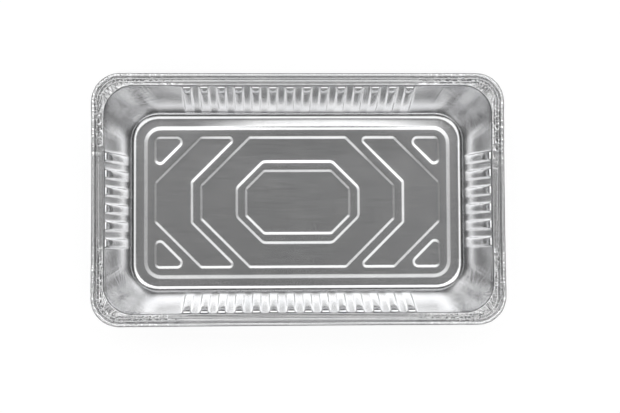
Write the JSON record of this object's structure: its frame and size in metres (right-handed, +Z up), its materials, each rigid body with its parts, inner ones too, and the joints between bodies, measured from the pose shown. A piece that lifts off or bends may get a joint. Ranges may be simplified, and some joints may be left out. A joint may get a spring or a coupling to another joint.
{
  "type": "aluminium foil tray",
  "caption": "Deep oblong foil tray with fluted leaning walls, a rolled rim and raised ribs in the floor, for heating and serving food.",
  "frame": {"origin": "under the middle of the floor, on the surface that the tray stands on", "axes": "+X along the length, +Y across the width, +Z up out of the open mouth"},
  "size_m": [0.53, 0.324, 0.08],
  "materials": {
    "foil": "bright rolled foil"
  },
  "bodies": {
    "root": {"tray": "foil"}
  },
  "joints": []
}
